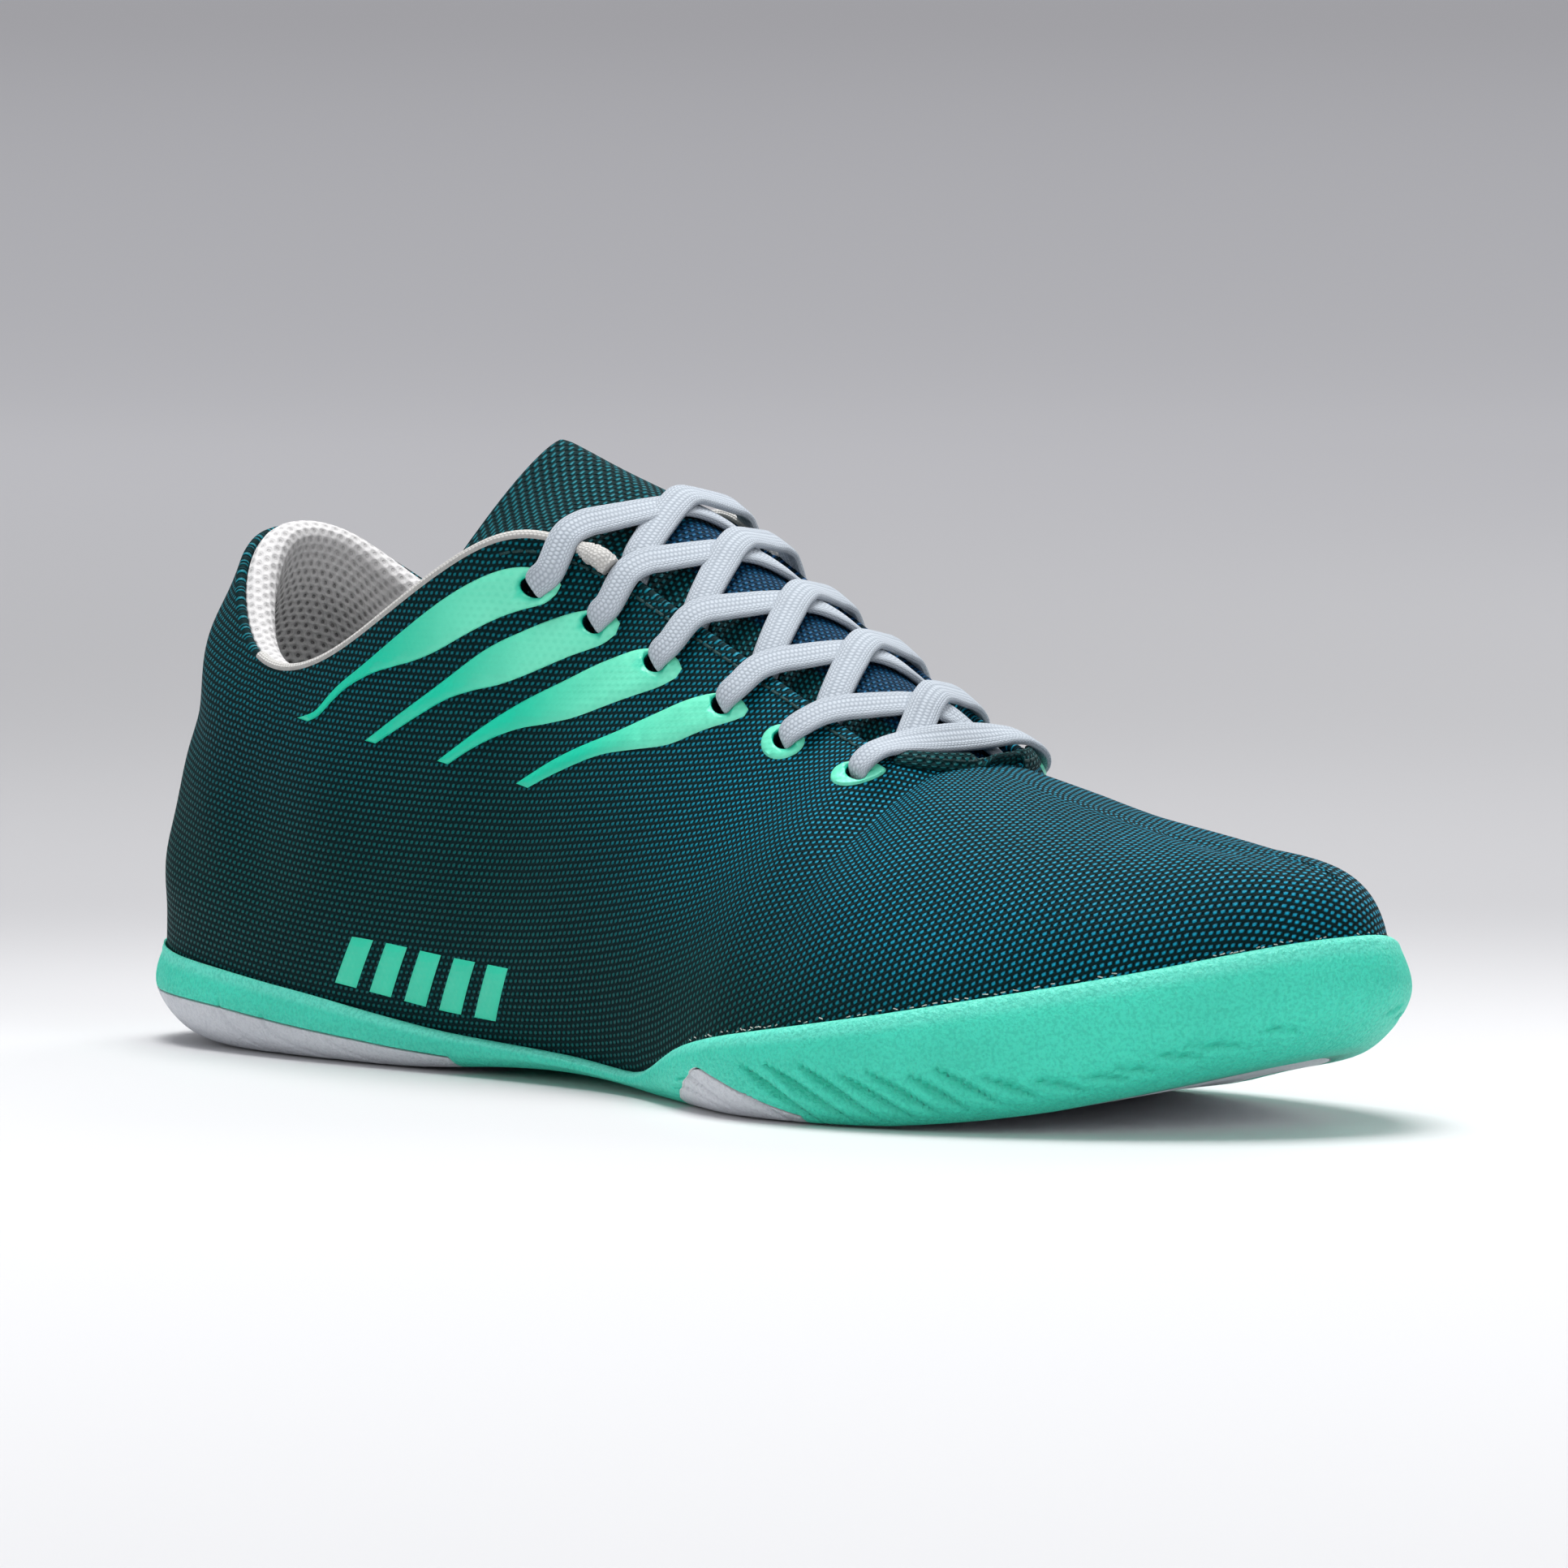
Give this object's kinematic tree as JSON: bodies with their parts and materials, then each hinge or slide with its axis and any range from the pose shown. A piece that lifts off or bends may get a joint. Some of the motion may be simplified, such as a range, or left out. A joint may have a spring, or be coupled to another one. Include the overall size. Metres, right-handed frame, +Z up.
{
  "type": "indoor soccer shoe",
  "caption": "Right indoor soccer shoe: woven upper with padded collar and tongue, laced instep, thin cupsole with a high toe wall and flat rubber pads.",
  "frame": {"origin": "on the ground under the middle of the heel pad, 45 mm in front of the heel's back", "axes": "+X from heel to toe, +Y to the inner (medial) side of the foot, +Z up"},
  "size_m": [0.289, 0.1003, 0.1126],
  "materials": {
    "upper": "coarse glossy weave",
    "mint": "satin, finely grained",
    "grey": "matt",
    "lining": "spacer mesh",
    "lace": "flat braid",
    "insole": "matt"
  },
  "bodies": {
    "root": {"outsole_heel": "grey", "outsole_forefoot": "grey", "midsole": "mint", "upper": "upper", "collar_lining": "lining", "tongue": "upper", "insole": "insole", "lace": "lace"}
  },
  "joints": []
}
